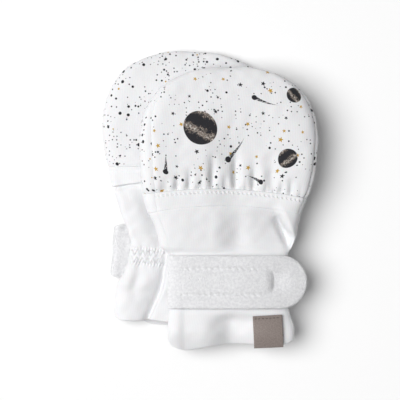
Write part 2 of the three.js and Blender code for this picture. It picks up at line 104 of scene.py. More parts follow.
def linear(code):
    """An sRGB hex colour as linear red, green, blue and alpha."""
    parts = [int(code[i : i + 2], 16) / 255 for i in (1, 3, 5)]
    return (*(p / 12.92 if p <= 0.04045 else ((p + 0.055) / 1.055) ** 2.4 for p in parts), 1)


class Tree:
    """A new material's nodes. add makes one with its settings and links, and gives back its first output."""

    def __init__(self, name):
        self.material = bpy.data.materials.new(name)
        self.material.use_nodes = True
        self.nodes = self.material.node_tree.nodes
        self.links = self.material.node_tree.links
        self.shader = self.nodes["Principled BSDF"]

    def add(self, kind, settings=None, output=0, **inputs):
        node = self.nodes.new("ShaderNode" + kind)
        for key, value in (settings or {}).items():
            setattr(node, key, value)
        for key, value in inputs.items():
            name = key.replace("_", " ")
            socket = node.inputs[int(name[1:])] if name[1:].isdigit() else node.inputs[name]
            self.plug(socket, value)
        return node.outputs[output]

    def plug(self, socket, value):
        if isinstance(value, bpy.types.NodeSocket):
            self.links.new(value, socket)
        else:
            socket.default_value = value

    def math(self, operation, *values):
        inputs = {f"i{n}": value for n, value in enumerate(values)}
        return self.add("Math", {"operation": operation}, **inputs)

    def times(self, value, factor):
        return self.math("MULTIPLY", value, factor)

    def muladd(self, value, factor, plus):
        return self.math("MULTIPLY_ADD", value, factor, plus)

    def wave(self, value, length):
        return self.math("SINE", self.times(value, 2 * math.pi / length))

    def length(self, vector):
        return self.add("VectorMath", {"operation": "LENGTH"}, output=1, i0=vector)

    def noise(self, place, scale, detail, **more):
        return self.add("TexNoise", {}, Vector=place, Scale=scale, Detail=detail, **more)

    def bump(self, height, strength, distance):
        return self.add("Bump", {}, Height=height, Strength=strength, Distance=distance)

    def mix(self, share, low, high):
        inputs = {"i0": share, "i6": low, "i7": high}
        return self.add("Mix", {"data_type": "RGBA"}, output=2, **inputs)

    def ramp(self, value, low, high):
        """0 at low and 1 at high, with a soft step between."""
        settings = {"interpolation_type": "SMOOTHSTEP"}
        return self.add("MapRange", settings, Value=value, From_Min=low, From_Max=high)

    def set(self, **sockets):
        for name, value in sockets.items():
            self.plug(self.shader.inputs[name.replace("_", " ")], value)


def white_paper():
    """The white ground: matt and even, so that only the soft shadows show."""
    t = Tree("white_paper")
    t.set(Base_Color=linear("#f1f1f1"), Roughness=0.9, Specular_IOR_Level=0.1)
    return t.material


def flat_place(t, scale=1.0):
    """A point of the flat cloth in millimetres, from the piece's own attribute."""
    place = t.add("Attribute", {"attribute_name": "flat"}, output=1)
    return t.add("VectorMath", {"operation": "SCALE"}, i0=place, Scale=scale)


def knit_height(t, place, wale=1.15):
    """Fine upright ribs of jersey, about twice as coarse as real stitches, which a pixel would swallow."""
    x, y, _ = separated(t, place)
    sway = t.noise(place, 0.35, 2.0)
    across = t.muladd(sway, 0.7, x)
    rib = t.wave(across, wale)
    course = t.wave(y, 0.8)
    return t.muladd(course, 0.25, rib)


def separated(t, vector):
    node = t.nodes.new("ShaderNodeSeparateXYZ")
    t.links.new(vector, node.inputs[0])
    return node.outputs[0], node.outputs[1], node.outputs[2]


def finish_jersey(t, place, color):
    """Matt cotton: soft fuzz catches a little light at grazing angles, and the ribs give a faint grain."""
    rib = knit_height(t, place)
    lint = t.noise(place, 2.6, 3.0)
    height = t.muladd(lint, 1.2, rib)
    normal = t.bump(height, 0.14, 0.00006)
    t.set(Base_Color=color, Roughness=0.92, Normal=normal, Sheen_Weight=0.12, Sheen_Roughness=0.5)
    t.set(Specular_IOR_Level=0.25, Subsurface_Weight=0.05, Subsurface_Scale=0.002)


def cotton_color(t, place, low="#dadadc", high="#dfdfe0"):
    """White cotton, a little greyer in large faint clouds, with painted shade that greys it a little between
    the ribs.
    """
    cloud = t.noise(place, 0.05, 2.0)
    # Painted shade: the colour is a little greyer where the ribs' height is low, in the grooves between them.
    # The clouds are the cloth's own uneven tone.
    rib = t.ramp(knit_height(t, place), -1.0, 0.6)
    tone = t.muladd(rib, 0.35, t.times(cloud, 0.65))
    return t.mix(tone, linear(low), linear(high))


def plain_jersey():
    t = Tree("plain_cotton_jersey")
    place = flat_place(t)
    finish_jersey(t, place, cotton_color(t, place, "#dcdcde", "#e2e2e3"))
    return t.material


def cells(t, place, cell, shift, randomness=1.0):
    """Uneven cells of the flat cloth, moved by a print's own shift: the moved place and the cells."""
    moved = t.add("VectorMath", {"operation": "ADD"}, i0=place, i1=(shift, shift * 0.7, 0))
    node = t.nodes.new("ShaderNodeTexVoronoi")
    node.voronoi_dimensions = "2D"
    node.inputs["Scale"].default_value = 1 / cell
    node.inputs["Randomness"].default_value = randomness
    t.links.new(moved, node.inputs["Vector"])
    return moved, node


def speck_mask(t, place, cell, share, small, large, shift, clustered):
    """Round specks in a share of the cells, of random radii in millimetres. Clustered ones come in swarms."""
    moved, node = cells(t, place, cell, shift)
    pick, size, _ = separated(t, node.outputs["Color"])
    radius = t.muladd(size, (large - small) / cell, small / cell)
    near = t.math("SUBTRACT", radius, node.outputs["Distance"])
    dot = t.ramp(near, -0.12 / cell, 0.12 / cell)
    if clustered:
        cloud = t.noise(moved, 0.075, 1.0)
        share = t.times(t.ramp(cloud, 0.42, 0.66), share)
    return t.times(dot, t.math("LESS_THAN", pick, share))


def star_mask(t, place, cell, share, small, large, shift):
    """Five-pointed stars at random turns, one in a share of the cells."""
    moved, node = cells(t, place, cell, shift, 0.75)
    away = t.add("VectorMath", {"operation": "SUBTRACT"}, i0=moved, i1=node.outputs["Position"])
    x, y, _ = separated(t, away)
    pick, size, tone = separated(t, node.outputs["Color"])
    angle = t.muladd(tone, 6.0, t.math("ARCTAN2", y, x))
    fold = t.math("PINGPONG", angle, math.pi / 5)  # 0 at a point of the star, and most between two
    # The straight edge from a point at radius 1 to a notch at radius 0.42.
    reach = t.muladd(t.math("POWER", fold, 0.55), -0.80, 1.0)
    radius = t.muladd(size, large - small, small)
    length = t.length(away)
    near = t.math("SUBTRACT", t.times(reach, radius), length)
    star = t.ramp(near, -0.1, 0.12)
    return t.times(star, t.math("LESS_THAN", pick, share))


def offset_from(t, place, centre):
    return t.add("VectorMath", {"operation": "SUBTRACT"}, i0=place, i1=(*centre, 0))


def ball_mask(t, place, centre, radius, tilt):
    """A round ball with uneven bands across it, like a far planet: the mask and the share of dark ink."""
    away = offset_from(t, place, centre)
    length = t.length(away)
    mask = t.ramp(t.math("SUBTRACT", radius, length), -0.12, 0.12)
    turned = t.add("VectorRotate", {"rotation_type": "Z_AXIS"}, Vector=away, Angle=tilt)
    x, y, _ = separated(t, turned)
    wobble = t.noise(turned, 0.35, 5.0, Roughness=0.65)
    bands = t.math("SINE", t.muladd(wobble, 5.5, t.times(y, 5.2 / radius)))
    grain = t.noise(place, 1.1, 6.0, Roughness=0.8)
    ink = t.muladd(grain, 1.5, t.muladd(bands, 0.22, -0.42))
    return mask, ink


def streak_mask(t, place, centre, length, width, tilt):
    """A comet: a round head and a tail that thins out."""
    away = offset_from(t, place, centre)
    turned = t.add("VectorRotate", {"rotation_type": "Z_AXIS"}, Vector=away, Angle=tilt)
    x, y, _ = separated(t, turned)
    share = t.math("DIVIDE", x, length)
    inside = t.times(t.math("GREATER_THAN", share, 0.0), t.math("LESS_THAN", share, 1.0))
    bend = t.muladd(t.times(share, share), -0.16 * length, y)
    half = t.muladd(share, -width, width)
    tail = t.ramp(t.math("SUBTRACT", half, t.math("ABSOLUTE", bend)), -0.12, 0.2)
    tail = t.times(tail, inside)
    head = t.length(away)
    head = t.ramp(t.math("SUBTRACT", width * 1.35, head), -0.1, 0.12)
    grain = t.noise(place, 1.6, 4.0, Roughness=0.7)
    broken = t.ramp(grain, 0.36, 0.5)
    return t.math("MAXIMUM", head, t.times(tail, broken))


INK = "#26262a"
TAUPE = "#877c73"
OCHRE = "#b38e3c"
# The print of the back of the hand, at places of the flat cloth in millimetres from its middle line and up
# from the hem: x, y, radius and turn of each ball, and x, y, length, width and turn of each comet.
BALLS = ((-15.0, 107.0, 8.0, 0.5), (26.5, 92.5, 4.6, -0.7), (31.0, 122.5, 3.6, 0.9))
COMETS = (
    (-2.5, 92.0, 13.0, 1.1, -0.75),
    (12.0, 121.5, 11.5, 0.95, 0.5),
    (-33.5, 86.0, 9.0, 0.9, -1.25),
    (15.5, 81.2, 8.5, 0.9, -2.6),
)


def inked(t, base, mask, code):
    return t.mix(mask, base, linear(code))


def night_sky_jersey():
    """White jersey printed with specks, stars, banded balls and comets in black, taupe and ochre ink."""
    t = Tree("printed_cotton_jersey_sky")
    place = flat_place(t)
    color = cotton_color(t, place)
    for cell, share, small, large, shift, clustered in (
        (2.2, 0.6, 0.14, 0.42, 11.0, True),
        (5.0, 0.2, 0.2, 0.5, 83.0, False),
        (9.0, 0.3, 0.4, 0.8, 47.0, False),
    ):
        color = inked(t, color, speck_mask(t, place, cell, share, small, large, shift, clustered), INK)
    for cell, share, small, large, shift, code in (
        (12.0, 0.7, 0.95, 1.5, 5.0, OCHRE),
        (11.0, 0.42, 0.85, 1.4, 63.0, INK),
    ):
        color = inked(t, color, star_mask(t, place, cell, share, small, large, shift), code)
    for *centre, radius, tilt in BALLS:
        mask, ink = ball_mask(t, place, centre, radius, tilt)
        tone = t.mix(t.ramp(ink, 0.3, 0.62), linear(INK), linear(TAUPE))
        color = t.mix(mask, color, t.mix(t.ramp(ink, 0.58, 0.7), tone, linear("#d7d4d0")))
    for x, y, length, width, tilt in COMETS:
        color = inked(t, color, streak_mask(t, place, (x, y), length, width, tilt), INK)
    finish_jersey(t, place, color)
    return t.material


def speckled_jersey():
    """White jersey with a print of fine black and grey specks, with a few ochre ones."""
    t = Tree("printed_cotton_jersey_specks")
    place = flat_place(t)
    color = cotton_color(t, place)
    for cell, share, small, large, shift, code, clustered in (
        (1.9, 0.55, 0.14, 0.38, 3.0, "#3a3a3f", True),
        (2.7, 0.60, 0.18, 0.56, 29.0, INK, True),
        (5.0, 0.34, 0.38, 0.86, 71.0, INK, False),
        (7.5, 0.22, 0.25, 0.55, 97.0, OCHRE, False),
    ):
        color = inked(t, color, speck_mask(t, place, cell, share, small, large, shift, clustered), code)
    finish_jersey(t, place, color)
    return t.material


def looped_terry():
    """White looped terry: each loop catches light, and the ground between the loops falls grey."""
    t = Tree("white_looped_terry")
    place = t.add("TexCoord", {}, output=3)
    cloud = t.noise(place, 900.0, 3.0)
    color = t.mix(t.ramp(cloud, 0.3, 0.7), linear("#dbdbdd"), linear("#e8e8e9"))
    normal = t.bump(cloud, 0.35, 0.0002)
    t.set(Base_Color=color, Roughness=0.95, Normal=normal, Sheen_Weight=0.2, Sheen_Roughness=0.6)
    t.set(Specular_IOR_Level=0.2)
    return t.material


def sewing_thread():
    """White polyester thread, a little brighter than the cotton it lies on."""
    t = Tree("white_sewing_thread")
    place = t.add("TexCoord", {}, output=3)
    twist = t.add("TexWave", {"bands_direction": "DIAGONAL"}, Vector=place, Scale=900.0)
    normal = t.bump(twist, 0.2, 0.00005)
    t.set(Base_Color=linear("#e8e8e9"), Roughness=0.6, Normal=normal, Specular_IOR_Level=0.4)
    return t.material


def woven_ribbon():
    """Taupe woven ribbon: fine crossing threads, a selvedge of the same colour, and no mark on it."""
    t = Tree("taupe_woven_ribbon")
    place = flat_place(t)
    x, y, _ = separated(t, place)
    warp = t.wave(x, 0.55)
    weft = t.wave(y, 0.7)
    weave = t.times(warp, weft)
    mottle = t.noise(place, 1.3, 3.0)
    tone = t.muladd(weave, 0.25, mottle)
    color = t.mix(t.ramp(tone, 0.15, 0.85), linear("#756a64"), linear("#8e837e"))
    normal = t.bump(weave, 0.35, 0.00008)
    t.set(Base_Color=color, Roughness=0.68, Normal=normal, Sheen_Weight=0.1)
    return t.material


def dark_thread():
    """The darker thread that holds the label."""
    t = Tree("dark_label_thread")
    t.set(Base_Color=linear("#544b47"), Roughness=0.6)
    return t.material


# Sizes, as in the part

CLOTH = 1.4
LAP_GAP = 0.45
STRAP_GAP = 0.6
STRAP_WIDTH = 25.4
STRAP_THICKNESS = 2.4
STRAP_LOW = 20.4
LABEL_SIZE = (14.0, 15.8, 1.0)
BAND_LAP = 4.0
CAP_POWER = 2.4
UNDER_POWER = 8
CAP_END = 89.2 * DEGREE

OVER_PLACE = (9.6, -72.2, 0.0)  # x and y of the middle of the hem, and the turn
UNDER_PLACE = (-15.4, -59.8, -3.8 * DEGREE)

COLUMNS = ("v", "left", "right", "top", "under", "rest", "full", "left_rim", "right_rim")
OVER_SECTIONS = (
    (-2, 29.6, 30.4, 4.6, 3.6, 0, 7, 0.9, 0.7),
    (10, 29.9, 30.9, 5.0, 3.8, 0, 7, 0.9, 0.7),
    (17.5, 29.4, 28.8, 4.8, 3.8, 0, 7, 0.9, 0.7),
    (19.4, 29.1, 28.2, 4.4, 3.7, 0, 6, 0.9, 0.7),
    (20.8, 27.7, 27.5, 4.0, 3.7, 0, 6, 0.9, 0.7),
    (46.4, 28.6, 27.9, 4.0, 3.7, 0, 7, 1.6, 0.7),
    (49.5, 33.4, 29.7, 5.2, 3.9, 0, 8, 4.4, 0.7),
    (55, 34.7, 31.8, 6.0, 4.3, 0, 10, 4.2, 0.7),
    (61, 36.6, 32.8, 6.6, 4.7, 0, 11, 3.9, 0.9),
    (66.5, 39.4, 34.2, 7.0, 4.9, 0, 12, 4.6, 1.2),
    (73, 41.6, 37.2, 7.6, 4.9, 0, 12, 5.8, 1.3),
    (78, 42.3, 39, 8.0, 4.9, 0, 12, 6.0, 1.3),
    (88, 43, 41.1, 8.5, 4.8, 0, 12, 5.8, 1.3),
    (99, 43.3, 42.1, 8.6, 4.8, 0, 11, 5.6, 1.2),
)
UNDER_SECTIONS = tuple((v, half, half, *rest, 0, 0) for v, half, *rest in (
    (-3, 30.6, 5.4, 3.4, 0, 7),
    (7, 31.7, 5.6, 3.4, 0, 7),
    (13, 31.6, 5.5, 3.3, 0.2, 7),
    (18.8, 30.2, 5.0, 2.6, 2.8, 6),
    (23, 27.7, 5.0, 2.5, 2.8, 6),
    (28, 26.4, 5.1, 2.5, 2.8, 6),
    (33.6, 25.8, 5.0, 2.5, 2.8, 6),
    (38.5, 26.2, 5.1, 2.5, 2.8, 6),
    (47.2, 29.4, 5.1, 2.6, 2.8, 7),
    (52.5, 31.9, 5.4, 3.8, 0.2, 8),
    (60, 34.8, 5.6, 4.5, 0, 8),
    (70, 38.2, 5.7, 4.6, 0, 8),
    (82, 41.2, 6.5, 3.9, 0, 8),
    (96, 42.8, 6.6, 3.9, 0, 8),
))
OVER_REACH = 36.8
UNDER_REACH = 36.0
EDGE_HALF = 1.9

# Gathers drawn in by the band's upper seam: x, width, depth and reach above the seam.
OVER_GATHERS = (
    (-31, 1.7, 0.9, 7),
    (-25.2, 1.6, 1.5, 9),
    (-19.2, 1.7, 1.6, 12),
    (-14, 1.5, 0.9, 8),
    (-8.4, 2.0, 2.0, 20),
    (-2.6, 1.5, 0.9, 8),
    (2.6, 2.0, 2.7, 22),
    (11.5, 2.2, 2.1, 18),
    (19.6, 2.8, 1.9, 22),
    (24.6, 1.5, 1.3, 8),
    (28.9, 1.6, 1.3, 9),
)
# Creases from one point to another: x and v of each end, width and depth.
OVER_CREASES = (
    (21.5, 64.5, 30.5, 46.5, 1.9, 3.0),
    (4.5, 66, 3.2, 45, 6, 1.1),
)
UNDER_CREASES = (
    (-1, 60, -3, 34, 3, 1.0),
    (13, 62, 9, 34, 3.2, 1.1),
    (25, 60, 18, 34, 2.6, 0.8),
    (-19.5, 30, -23.5, 13, 2.6, 1.0),
    (4, 30, 6, 4, 3, 0.9),
    (17, 30, 20, 6, 2.4, 0.8),
)
ELASTIC_LOW = 27.9
ELASTIC_HIGH = 34.9
ELASTIC_GATHERS = 13
ELASTIC_DEPTH = 0.15
ELASTIC_FADE = 5
ELASTIC_NIP = 0.7

# Seams that run across: the height in the middle, arch, slant, and the x that the last two are stated at.
# Hems are points of x and height.
OVER_BAND_TOP = (77.3, 3.0, 1.3, 36)
OVER_BAND_LOW = (69.4, 3.1, 0.7, 33)
UNDER_BAND_TOP = (75.2, 1.8, 0, 38)
UNDER_BAND_LOW = (68.7, 4.6, 0, 36)
SEAM_DIP = 0.7
SEAM_DIP_WIDTH = 2.2
UNDER_PALM_HEM = ((-31, 0.9), (-27.3, -0.2), (-18, 0.3), (-14, 1.2), (-6, 0.6), (31, 0.4))
UNDER_BACK_HEM = ((-31, 1.6), (-20, 0.8), (-13, -1.2), (31, -1.2))
OVER_HEM = (
    *((-30, 4.2), (-27.5, 1.7), (-21.6, 0), (-14, 1.4)),
    *((-6, 2.5), (0, 3.2), (12, 3.1), (25, 2.7), (30, 4.6)),
)

PAIR_GAP = 0.5
DRAPE_DROOP = 0.18
DRAPE_FROM = 0.84
DRAPE_TO = 1.62
DRAPE_PAST_HEM = 20
DRAPE_NARROWEST = 30
UNDER_SEAM_SUNK = 13 * DEGREE


# The mittens' form


def table(columns, rows):
    return dict(zip(columns, np.array(rows, float).T))


def curve(rows, along, column):
    """Smooth curve through a table's rows, which never overshoots them."""
    x, y = rows[along], rows[column]
    slopes = np.diff(y) / np.diff(x)
    before = np.concatenate([slopes[:1], slopes])
    after = np.concatenate([slopes, slopes[-1:]])
    same = before * after > 0
    tangents = np.where(same, 2 * before * after / np.where(same, before + after, 1), 0)

    def at(value):
        value = np.clip(value, x[0], x[-1])
        i = np.clip(np.searchsorted(x, value, side="right") - 1, 0, len(x) - 2)
        span = x[i + 1] - x[i]
        t = (value - x[i]) / span
        ends = y[i] * (1 + 2 * t) * (1 - t) ** 2 + y[i + 1] * t * t * (3 - 2 * t)
        return ends + span * (tangents[i] * t * (1 - t) ** 2 - tangents[i + 1] * t * t * (1 - t))

    return at


def lerp(a, b, t):
    return a + (b - a) * t


def step(value, low, high):
    t = np.clip((value - low) / (high - low), 0, 1)
    return t * t * (3 - 2 * t)


def bell(value, width):
    return np.exp(-((value / width) ** 2))


def edge_height(edge, x):
    middle, arch, slant, over = edge
    share = x / over
    return middle - arch * share * share - slant * share


def crease_depth(creases, x, v):
    depth = 0
    for x0, v0, x1, v1, width, deep in creases:
        run = np.array([x1 - x0, v1 - v0], float)
        t = ((x - x0) * run[0] + (v - v0) * run[1]) / (run @ run)
        aside = ((x - x0) * run[1] - (v - v0) * run[0]) / np.linalg.norm(run)
        swell = np.sin(math.pi * np.clip(t, 0, 1)).clip(0) ** 0.7
        depth = depth + deep * swell * bell(aside, width)
    return depth


def gather_depth(gathers, x, above):
    depth = 0
    for middle, width, deep, reach in gathers:
        t = above / reach
        open_ = lerp(0.35, 1, step(t, 0, 0.2)) * (1 - step(t, 0.25, 1)) * (above > 0)
        depth = depth + deep * open_ * bell(x - middle, width)
    return depth


def elastic_depth(x, v, side):
    middle = (ELASTIC_LOW + ELASTIC_HIGH) / 2
    outside = np.maximum(0, abs(v - middle) - (ELASTIC_HIGH - ELASTIC_LOW) / 2)
    hold = 1 - step(outside, 0, ELASTIC_FADE)
    return hold * (ELASTIC_NIP + ELASTIC_DEPTH * np.cos(x / side * ELASTIC_GATHERS * math.pi))


class Mitten:
    """A mitten's outer form. ring gives the point at an angle round a section and a height along it."""

    def __init__(self, sections, reach, place, lift, uppers, right_square=1.0):
        rows = table(COLUMNS, sections)
        self.right_square = right_square
        self.curves = {name: curve(rows, "v", name) for name in COLUMNS[1:]}
        self.crown = rows["v"][-1]
        self.reach = reach
        self.end = self.crown + reach
        self.place = place
        self.lift = lift
        self.uppers = uppers

    def turn_at(self, along):
        return np.clip((along - self.crown) / self.reach, 0, 1) * CAP_END

    def ring(self, angle, along, depth):
        turn = self.turn_at(along)
        shrink = np.cos(turn) ** (2 / CAP_POWER)
        at = np.minimum(along, self.crown)
        c = np.cos(angle)
        rise_v = (self.reach - depth) * np.sin(turn) ** (2 / CAP_POWER)
        v = np.where(turn > 0, self.crown + rise_v, along)
        half = np.where(c < 0, self.curves["left"](at), self.curves["right"](at))
        x = (half - depth) * shrink * c
        seam = self.curves["rest"](at) + lerp(EDGE_HALF, self.curves["under"](at), shrink)
        upper = np.sin(angle) > 0
        squarer = lerp(1, self.right_square, step(at, 66, 76) * (c > 0))
        power = np.where(upper, self.curves["full"](at) * squarer, UNDER_POWER)
        rise = np.sqrt(np.maximum(0, 1 - abs(c) ** power))
        calm = 1 - abs(c) ** 10
        top = (lerp(EDGE_HALF, self.curves["top"](at), shrink) - depth) * rise
        top = top - calm * self.uppers(x, v, self.curves["left"](at))
        under = (lerp(EDGE_HALF, self.curves["under"](at), shrink) - depth) * rise
        z = np.where(upper, seam + top, seam - under)
        return self.world(x, v, z, self.lift)

    def world(self, x, v, z, lift=lambda x, y: 0):
        px, py, turn = self.place
        wx = px + x * math.cos(turn) - v * math.sin(turn)
        wy = py + x * math.sin(turn) + v * math.cos(turn)
        return np.stack(np.broadcast_arrays(wx, wy, z + lift(wx, wy)), -1)

    def height_of(self, points):
        """Height along the mitten of points in the part's frame."""
        px, py, turn = self.place
        return (points[..., 1] - py) * math.cos(turn) - (points[..., 0] - px) * math.sin(turn)

    def x_at(self, angle, along):
        at = np.minimum(along, self.crown)
        c = np.cos(angle)
        half = np.where(c < 0, self.curves["left"](at), self.curves["right"](at))
        return half * np.cos(self.turn_at(along)) ** (2 / CAP_POWER) * c

    def seams(self, along, sunk):
        turn = self.turn_at(along)
        fade = np.clip(1 - turn / (62 * DEGREE), 0, 1)
        at = np.minimum(along, self.crown)
        closing = np.cos(turn) ** (2 / CAP_POWER)

        def angle_of(rim, half):
            share = np.minimum(1, self.curves[rim](at) * fade / (self.curves[half](at) * closing))
            return np.arccos(1 - share) - sunk * fade

        return math.pi - angle_of("left_rim", "left"), angle_of("right_rim", "right")

    def upper_side(self, x, v, depth, leave=0.99):
        """A point of the upper side by its x. Past a side it runs on straight, at its last slope."""
        share = x / (np.where(x < 0, self.curves["left"](v), self.curves["right"](v)) - depth)
        p = self.ring(np.arccos(np.clip(share, -1, leave)), v, depth)
        near = self.ring(math.acos(leave - 0.02), v, depth)
        past = share > leave
        flat_x = p[..., 0] - self.place[0]
        run = np.where(past, x - flat_x, 0)
        slope = (p[..., 2] - near[..., 2]) / np.where(past, p[..., 0] - near[..., 0], 1)
        out = p.copy()
        out[..., 0] += run
        out[..., 2] += run * slope * past
        return out


under_side = curve(table(COLUMNS, UNDER_SECTIONS), "v", "left")
UNDER_HIGHEST = max(row[3] + row[4] + row[5] for row in UNDER_SECTIONS)


def lift_at(x, y):
    px, py, turn = UNDER_PLACE
    lx = (x - px) * math.cos(turn) + (y - py) * math.sin(turn)
    ly = -(x - px) * math.sin(turn) + (y - py) * math.cos(turn)
    past = np.maximum(0, ly - UNDER_SECTIONS[-1][0]) / UNDER_REACH
    share = np.hypot(lx / np.maximum(DRAPE_NARROWEST, under_side(ly)), past)
    held = 1 - DRAPE_DROOP * step(share, DRAPE_FROM, DRAPE_TO)
    return (UNDER_HIGHEST + PAIR_GAP) * held * step(ly, -DRAPE_PAST_HEM, -1)


def fold(path, left, right, deep, ends=0.5):
    """A trough along a line through points of height and x, with walls of two breadths. It fades out near its
    ends, over a short stretch where ends is below 1 and a long one where it is above."""
    v, x = np.array(sorted(path), float).T

    def at(px, pv):
        aside = px - np.interp(pv, v, x)
        share = np.clip((pv - v[0]) / (v[-1] - v[0]), 0, 1)
        return deep * np.sin(math.pi * share).clip(0) ** ends * bell(aside, np.where(aside < 0, left, right))

    return at


# Folds of the wrists and cuffs that lie deeper than the part's own form: path, two breadths and depth.
WRIST_FOLD = (
    *((66, -24), (57.4, -19.4), (52.8, -15.4), (47.7, -12.6)),
    *((42, -10.8), (36, -9.4), (32, -8.6)),
)
CUFF_FOLD = (
    *((34, -8), (26.9, -8.1), (21, -8.5), (16.2, -9.2)),
    *((11.3, -10.8), (6, -12.8), (1.4, -14.5), (-9, -18.3)),
)
UNDER_FOLDS = (
    fold(WRIST_FOLD, 6.0, 1.5, 2.3),
    fold(((68, -34), (58.5, -29.5), (47.0, -25.2), (37, -20.0)), 3.4, 4.5, 0.9),
    fold(((71, -33.5), (57, -28.5)), 2.4, 3.2, 1.2, 0.8),
    fold(CUFF_FOLD, 2.3, 0.5, 2.5),
    fold(CUFF_FOLD, 7.0, 1.0, 2.0),
    fold(((31, -18), (10, -23)), 2.6, 3.2, 0.6),
)
OVER_FOLDS = (
    fold(((67, 20.8), (60, 24.8), (56, 28.8), (52.3, 31.8), (49.4, 33.4), (28, 35)), 3.6, 0.8, 4.0, 1.3),
    fold(((68, 20.6), (60, 24.4), (52, 31.0), (47, 33), (38, 35)), 7.0, 1.5, 1.3, 1.0),
    fold(((26, -21.2), (-14, -21.6)), 2.8, 6.0, 1.1),
)
HEM_FOLD = fold(((26, 0.6), (-14, 1.8)), 7.0, 8.0, 3.3)
TILT = 0.25
TILT_LEVEL = -25.5  # the x where the tilted wrist keeps the part's own height
CREASE_FOOT = (21.5, 64.5)  # a point and the slope of the line where the over wrist's lower part ends
CREASE_SLOPE = 0.5


def wrist_tilt(x, v):
    """The under wrist falls off from its left side to the fold beside the over mitten."""
    heights, places = np.array(sorted(WRIST_FOLD)).T
    bottom = np.interp(v, heights, places)
    ramp = TILT * (np.clip(x, -30, bottom) - TILT_LEVEL)
    return ramp * (1 - step(x - bottom, 0, 3)) * step(v, 34, 42) * (1 - step(v, 59, 67))


def fall(x, deep, down, back, returned=1.0):
    """A fall to a depth over one stretch of x, with a share of it coming back up over another."""
    return deep * step(x, *down) * (1 - returned * step(x, *back))


def over_bed(x, v, side):
    """How far the over mitten's upper side lies in where the strap lies on it."""
    above = v - edge_height(OVER_BAND_TOP, x)
    dip = SEAM_DIP * bell(above, SEAM_DIP_WIDTH)
    # The right part of the wrist lies lower, up to the slanting crease, and so does the hand above it.
    crease_x = CREASE_FOOT[0] + CREASE_SLOPE * (CREASE_FOOT[1] - v)
    wrist = (3.1 * step(x, -9, 5) + 0.8 * step(x, 7, 22)) * (1 - step(x - crease_x, 0, 6))
    hand = fall(x, 3.0, (-13, 5), (9, 38))
    hollow = wrist * step(v, 45, 52) * (1 - step(v, 63, 72)) + hand * step(v, 63, 72) * (1 - step(v, 90, 124))
    folds = sum(crease(x, v) for crease in OVER_FOLDS)
    return dip + gather_depth(OVER_GATHERS, x, above) + crease_depth(OVER_CREASES, x, v) + hollow + folds


def over_uppers(x, v, side):
    """How far the over mitten's upper side lies in. Below the strap it falls off to the right into a fold."""
    terrace = fall(x, 2.3, (-14, 1), (4, 27), 0.55) * (1 - step(v, 13, 21))
    return over_bed(x, v, side) + terrace + HEM_FOLD(x, v) * (1 - step(v, 14, 21))


def under_uppers(x, v, side):
    folds = sum(crease(x, v) for crease in UNDER_FOLDS)
    return crease_depth(UNDER_CREASES, x, v) + elastic_depth(x, v, side) + wrist_tilt(x, v) + folds


RIGHT_SQUARE = 1.8  # how much squarer the right side of the over mitten's hand is than its left
over = Mitten(OVER_SECTIONS, OVER_REACH, OVER_PLACE, lift_at, over_uppers, RIGHT_SQUARE)
strap_bed = Mitten(OVER_SECTIONS, OVER_REACH, OVER_PLACE, lift_at, over_bed, RIGHT_SQUARE)
under = Mitten(UNDER_SECTIONS, UNDER_REACH, UNDER_PLACE, lambda x, y: 0, under_uppers)


# Making a piece of cloth from a skin


def spaced(count, size, close=(0.12, 0.3, 0.55, 0.9, 1.4)):
    """count steps from 0 to 1 over a size in millimetres, close together near both ends."""
    close = np.array(close) / size
    middle = np.linspace(close[-1], 1 - close[-1], count - 2 * len(close) + 1)
    return np.concatenate([[0], close[:-1], middle, 1 - close[:-1][::-1], [1]])


def side_skin(form, side, sunk, height_at):
    """The outer face of a piece between a form's seams, by shares across and along and a depth."""

    def skin(across, along, depth):
        def spot(height):
            left, right = form.seams(height, sunk)
            if side == "top":
                return lerp(left, right, across)
            return lerp(right, left - 2 * math.pi, across)

        x = 0 * across
        for _ in range(3):
            height = height_at(x, along)
            x = form.x_at(spot(height), height)
        height = height_at(x, along)
        return form.ring(spot(height), height, depth), x, height

    return skin


def lengths(points, axis):
    """Distance of each point from both ends of its line along an axis."""
    steps = np.linalg.norm(np.diff(points, axis=axis), axis=-1)
    zero = np.zeros_like(np.take(steps, [0], axis=axis))
    run = np.concatenate([zero, np.cumsum(steps, axis=axis)], axis=axis)
    total = np.take(run, [-1], axis=axis)
    return run, total - run


def rounded(distance, radius):
    """How far a wall's face falls back at a distance from an edge that is rounded to a radius."""
    t = np.clip(1 - distance / radius, 0, 1)
    return radius * (1 - np.sqrt(1 - t * t))


def new_grid(name, columns, rows):
    bpy.ops.object.select_all(action="DESELECT")
    bpy.ops.mesh.primitive_grid_add(x_subdivisions=columns, y_subdivisions=rows, size=1)
    piece = bpy.context.object
    piece.name = name
    piece.data.name = name
    return piece


def solid_sheet(name, across, along, faces, flat, material):
    """A closed sheet from two faces of points, outer and inner, over a grid of shares across and along."""
    piece = new_grid(name, len(across) - 1, len(along) - 1)
    mesh = piece.data
    spots = np.empty(len(mesh.vertices) * 3)
    mesh.vertices.foreach_get("co", spots)
    spots = spots.reshape(-1, 3) + 0.5
    column = np.rint(spots[:, 0] * (len(across) - 1)).astype(int)
    row = np.rint(spots[:, 1] * (len(along) - 1)).astype(int)
    solidify = piece.modifiers.new("wall", "SOLIDIFY")
    solidify.thickness = 0.01
    bpy.ops.object.modifier_apply(modifier="wall")
    outer, inner = (face[row, column] for face in faces)
    places = np.concatenate([outer, inner]) * MM
    mesh.vertices.foreach_set("co", places.ravel())
    spot = mesh.attributes.new("flat", "FLOAT_VECTOR", "POINT")
    lies = flat[row, column]
    spot.data.foreach_set("vector", np.concatenate([lies, lies]).ravel())
    mesh.update()
    mesh.shade_smooth()
    mesh.materials.clear()
    mesh.materials.append(material)
    return piece


def dressed(piece, node):
    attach(piece, "root")
    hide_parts(node)


EDGE_ROUND = 0.65
SEAM_ROUND = 0.3
SEAM_LAP = 0.05


def round_of(roll):
    return EDGE_ROUND if roll is None else max(SEAM_ROUND * min(1, roll * 10), 0.1)


